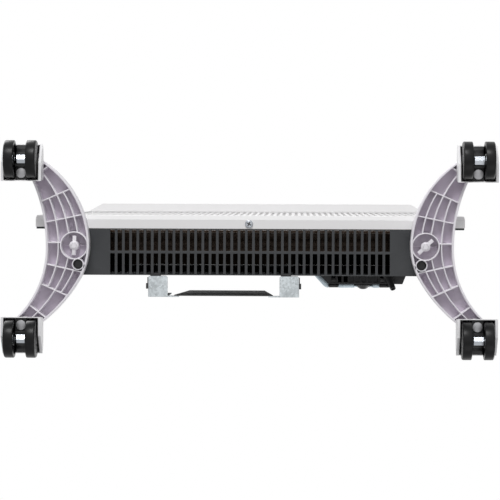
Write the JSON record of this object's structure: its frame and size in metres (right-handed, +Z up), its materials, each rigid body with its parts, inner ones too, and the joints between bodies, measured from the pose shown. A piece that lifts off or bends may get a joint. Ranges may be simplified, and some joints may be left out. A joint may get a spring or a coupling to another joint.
{
  "type": "infrared convector heater",
  "caption": "Slim panel heater with slotted casing, rear control box, wall bracket and crescent feet on swivelling twin-wheel castors.",
  "frame": {"origin": "on the floor, midway between the four castor stems", "axes": "+X across the front, -Y towards the room in front of the panel, +Z up"},
  "size_m": [0.5236, 0.2294, 0.4657],
  "materials": {
    "white_paint": "semi gloss powder coat",
    "charcoal_paint": "satin powder coat",
    "white_plastic": "moulded, satin",
    "black_plastic": "moulded, fine grain",
    "silver_plastic": "silver painted, satin",
    "ivory_plastic": "moulded",
    "zinc": "galvanised sheet",
    "steel": "plain sheet",
    "chrome": "polished",
    "aluminium": "rolled sheet",
    "element": "dark anodised",
    "mica": "mica laminate",
    "black_steel": "satin black",
    "rubber": "soft black",
    "tread": "hard black tread",
    "wire": "sleeved wires"
  },
  "bodies": {
    "casing": {"front_panel": "white_paint", "front_grille": "white_paint", "rear_cover": "charcoal_paint", "bottom_grille": "charcoal_paint", "top_grille": "charcoal_paint", "inner_frame_left": "steel", "inner_frame_right": "steel", "infrared_panel": "mica", "infrared_frame": "steel", "heat_shield": "aluminium", "convector_element": "element", "element_brackets": "steel", "thermal_cutout": "steel", "tilt_switch": "ivory_plastic", "terminal_block": "ivory_plastic", "wiring_loom": "wire", "control_housing": "black_plastic", "control_bezel": "silver_plastic", "thermostat_body": "ivory_plastic", "switch_bodies": "black_plastic", "cord_gland": "rubber", "bracket_arm_left": "zinc", "bracket_arm_right": "zinc", "bracket_plate": "black_steel", "bracket_bumpers": "rubber", "foot_left": "white_plastic", "foot_right": "white_plastic", "foot_pegs": "black_plastic", "foot_nuts": "steel", "wing_screw_left": "white_plastic", "wing_screw_right": "white_plastic", "casing_screws": "chrome", "stem_fl": "chrome", "stem_fr": "chrome", "stem_rl": "chrome", "stem_rr": "chrome"},
    "castor_fl": {"castor_frame_fl": "black_plastic", "castor_hood_fl": "white_plastic", "axle_fl": "chrome"},
    "wheel_fl_left": {"wheel_fl_left": "tread"},
    "wheel_fl_right": {"wheel_fl_right": "tread"},
    "castor_fr": {"castor_frame_fr": "black_plastic", "castor_hood_fr": "white_plastic", "axle_fr": "chrome"},
    "wheel_fr_left": {"wheel_fr_left": "tread"},
    "wheel_fr_right": {"wheel_fr_right": "tread"},
    "castor_rl": {"castor_frame_rl": "black_plastic", "castor_hood_rl": "white_plastic", "axle_rl": "chrome"},
    "wheel_rl_left": {"wheel_rl_left": "tread"},
    "wheel_rl_right": {"wheel_rl_right": "tread"},
    "castor_rr": {"castor_frame_rr": "black_plastic", "castor_hood_rr": "white_plastic", "axle_rr": "chrome"},
    "wheel_rr_left": {"wheel_rr_left": "tread"},
    "wheel_rr_right": {"wheel_rr_right": "tread"},
    "knob": {"thermostat_shaft": "chrome", "thermostat_knob": "black_plastic"},
    "rocker_left": {"rocker_left": "black_plastic"},
    "rocker_right": {"rocker_right": "black_plastic"}
  },
  "joints": [
    {"name": "castor_fl_swivel", "type": "hinge", "parent": "casing", "child": "castor_fl", "pos_m": [-0.2405, -0.0802, 0.0445], "axis": [0, 0, 1], "continuous": true},
    {"name": "wheel_fl_left_spin", "type": "hinge", "parent": "castor_fl", "child": "wheel_fl_left", "pos_m": [-0.2522, -0.0947, 0.02], "axis": [1, 0, 0], "continuous": true},
    {"name": "wheel_fl_right_spin", "type": "hinge", "parent": "castor_fl", "child": "wheel_fl_right", "pos_m": [-0.2288, -0.0947, 0.02], "axis": [1, 0, 0], "continuous": true},
    {"name": "castor_fr_swivel", "type": "hinge", "parent": "casing", "child": "castor_fr", "pos_m": [0.2405, -0.0802, 0.0445], "axis": [0, 0, 1], "continuous": true},
    {"name": "wheel_fr_left_spin", "type": "hinge", "parent": "castor_fr", "child": "wheel_fr_left", "pos_m": [0.2288, -0.0947, 0.02], "axis": [1, 0, 0], "continuous": true},
    {"name": "wheel_fr_right_spin", "type": "hinge", "parent": "castor_fr", "child": "wheel_fr_right", "pos_m": [0.2522, -0.0947, 0.02], "axis": [1, 0, 0], "continuous": true},
    {"name": "castor_rl_swivel", "type": "hinge", "parent": "casing", "child": "castor_rl", "pos_m": [-0.2405, 0.0802, 0.0445], "axis": [0, 0, 1], "continuous": true},
    {"name": "wheel_rl_left_spin", "type": "hinge", "parent": "castor_rl", "child": "wheel_rl_left", "pos_m": [-0.2522, 0.0947, 0.02], "axis": [1, 0, 0], "continuous": true},
    {"name": "wheel_rl_right_spin", "type": "hinge", "parent": "castor_rl", "child": "wheel_rl_right", "pos_m": [-0.2288, 0.0947, 0.02], "axis": [1, 0, 0], "continuous": true},
    {"name": "castor_rr_swivel", "type": "hinge", "parent": "casing", "child": "castor_rr", "pos_m": [0.2405, 0.0802, 0.0445], "axis": [0, 0, 1], "continuous": true},
    {"name": "wheel_rr_left_spin", "type": "hinge", "parent": "castor_rr", "child": "wheel_rr_left", "pos_m": [0.2288, 0.0947, 0.02], "axis": [1, 0, 0], "continuous": true},
    {"name": "wheel_rr_right_spin", "type": "hinge", "parent": "castor_rr", "child": "wheel_rr_right", "pos_m": [0.2522, 0.0947, 0.02], "axis": [1, 0, 0], "continuous": true},
    {"name": "thermostat_turn", "type": "hinge", "parent": "casing", "child": "knob", "pos_m": [0.13019, 0.047, 0.3454], "axis": [0, -1, 0], "range_deg": [0, 270]},
    {"name": "rocker_left_press", "type": "hinge", "parent": "casing", "child": "rocker_left", "pos_m": [0.0945, 0.0479, 0.3452], "axis": [1, 0, 0], "range_deg": [0, 12]},
    {"name": "rocker_right_press", "type": "hinge", "parent": "casing", "child": "rocker_right", "pos_m": [0.1552, 0.0479, 0.3452], "axis": [1, 0, 0], "range_deg": [0, 12]}
  ]
}
